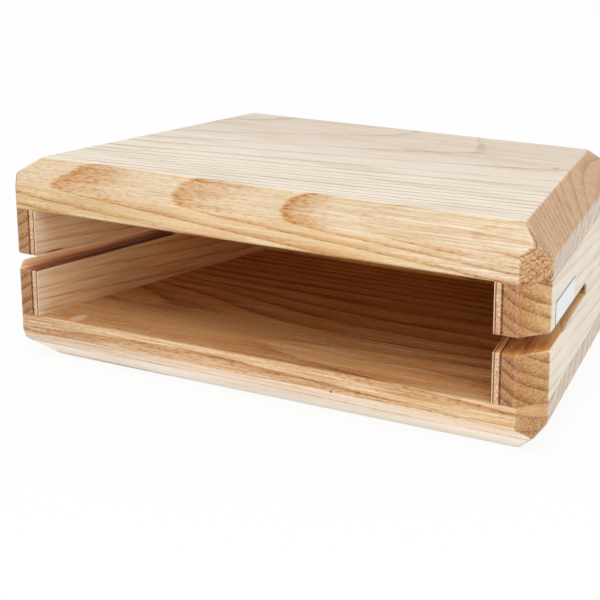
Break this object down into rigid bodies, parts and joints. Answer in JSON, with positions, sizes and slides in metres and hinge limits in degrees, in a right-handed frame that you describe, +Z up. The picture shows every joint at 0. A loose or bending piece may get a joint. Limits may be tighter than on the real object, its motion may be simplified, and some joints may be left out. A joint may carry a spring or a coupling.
{
  "type": "woodblock",
  "caption": "Hollow tapered ash woodblock, open at the front, with bevelled plates, plywood-lined side rails and a sound slot in each side; struck with a beater.",
  "frame": {"origin": "on the resting surface, under the middle of the block", "axes": "+X along the block's width, to the right as seen from the mouth; +Y from the mouth to the back; +Z up"},
  "size_m": [0.2448, 0.153, 0.089],
  "materials": {
    "ash_plate": "sanded ash with a thin matt oil",
    "ash_rail": "sanded ash with a thin matt oil",
    "plywood_face": "bare sanded veneer",
    "plywood_core": "bare sawn veneer edge",
    "plywood_back": "bare sawn veneer edge, dark with glue",
    "label_paper": "matt white label paper, blank, with a thin dark border"
  },
  "bodies": {
    "root": {"top_plate": "ash_plate", "bottom_plate": "ash_plate", "left_rail": "ash_rail", "right_rail": "ash_rail", "back_rail": "ash_rail", "left_liner_face_ply": "plywood_face", "left_liner_core_ply": "plywood_core", "left_liner_back_ply": "plywood_back", "right_liner_face_ply": "plywood_face", "right_liner_core_ply": "plywood_core", "right_liner_back_ply": "plywood_back", "side_label": "label_paper"}
  },
  "joints": []
}
